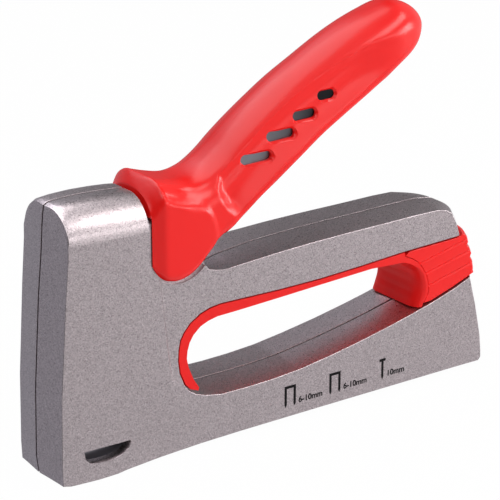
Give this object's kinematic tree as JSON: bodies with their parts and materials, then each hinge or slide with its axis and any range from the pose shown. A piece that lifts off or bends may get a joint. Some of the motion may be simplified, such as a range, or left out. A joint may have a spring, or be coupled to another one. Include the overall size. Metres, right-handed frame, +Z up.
{
  "type": "staple gun",
  "caption": "Hand staple gun with a cast two-part body, a red squeeze handle on a steel lever, a spring-driven plunger and a magazine that swings down for loading.",
  "frame": {"origin": "centre of the bounding box in plan, at the lowest point of the nose", "axes": "+X runs from the nose to the tail of the tool, +Y across it to its right-hand side, +Z up towards the handle"},
  "size_m": [0.1748, 0.0294, 0.1322],
  "materials": {
    "cast_metal": "die-cast, fine-grained satin metallic grey",
    "red_plastic": "moulded, satin gloss",
    "steel": "pressed and zinc plated",
    "bright_steel": "drawn and polished spring steel",
    "dark_steel": "blackened",
    "black_rubber": "matt"
  },
  "bodies": {
    "body": {"left_body_shell": "cast_metal", "right_body_shell": "cast_metal", "body_screw_1": "steel", "body_screw_2": "steel", "body_screw_3": "steel", "body_screw_4": "steel", "body_screw_5": "steel", "finger_loop_trim": "red_plastic", "lever_pivot_pin": "bright_steel", "handle_return_spring": "bright_steel", "main_spring": "bright_steel", "spring_seat": "dark_steel", "plunger_bumper": "black_rubber", "nose_guide_plate": "steel", "magazine_channel": "steel", "magazine_left_hinge_pin": "bright_steel", "magazine_right_hinge_pin": "bright_steel", "release_spring": "bright_steel"},
    "handle": {"handle_cover": "red_plastic", "lever": "steel", "cover_screw_1": "steel", "cover_screw_2": "steel"},
    "striker": {"plunger": "steel", "driver_blade": "bright_steel", "driver_rivet_1": "steel", "driver_rivet_2": "steel"},
    "magazine": {"magazine_base": "steel", "magazine_rail": "bright_steel", "magazine_front_rivet": "steel", "magazine_rear_rivet": "steel", "guide_rod": "bright_steel", "staple_strip": "bright_steel", "pusher_spring": "bright_steel"},
    "pusher": {"staple_pusher": "dark_steel"},
    "release": {"release_block": "red_plastic", "release_hook": "steel"}
  },
  "joints": [
    {"name": "handle_hinge", "type": "hinge", "parent": "body", "child": "handle", "pos_m": [-0.04295, 0, 0.07], "axis": [0, 1, 0], "range_deg": [0, 26], "stiffness_Nm_per_rad": 2, "springref_deg": -11.46},
    {"name": "plunger_lift", "type": "slide", "parent": "body", "child": "striker", "axis": [0, 0, 1], "range_m": [0, 0.0136], "deforming": ["main_spring"]},
    {"name": "magazine_swing", "type": "hinge", "parent": "body", "child": "magazine", "pos_m": [-0.07845, 0, 0.0053], "axis": [0, 1, 0], "range_deg": [0, 20]},
    {"name": "pusher_slide", "type": "slide", "parent": "magazine", "child": "pusher", "axis": [1, 0, 0], "range_m": [0, 0.066], "stiffness_N_per_m": 40, "springref_m": -0.04, "deforming": ["pusher_spring"]},
    {"name": "release_slide", "type": "slide", "parent": "body", "child": "release", "axis": [0.9889, 0, 0.1483], "range_m": [0, 0.0035], "stiffness_N_per_m": 400, "springref_m": -0.003, "deforming": ["release_spring"]}
  ],
  "couplings": [
    {"joint": "plunger_lift", "follows": "handle_hinge", "m_per_rad": 0.0298}
  ]
}
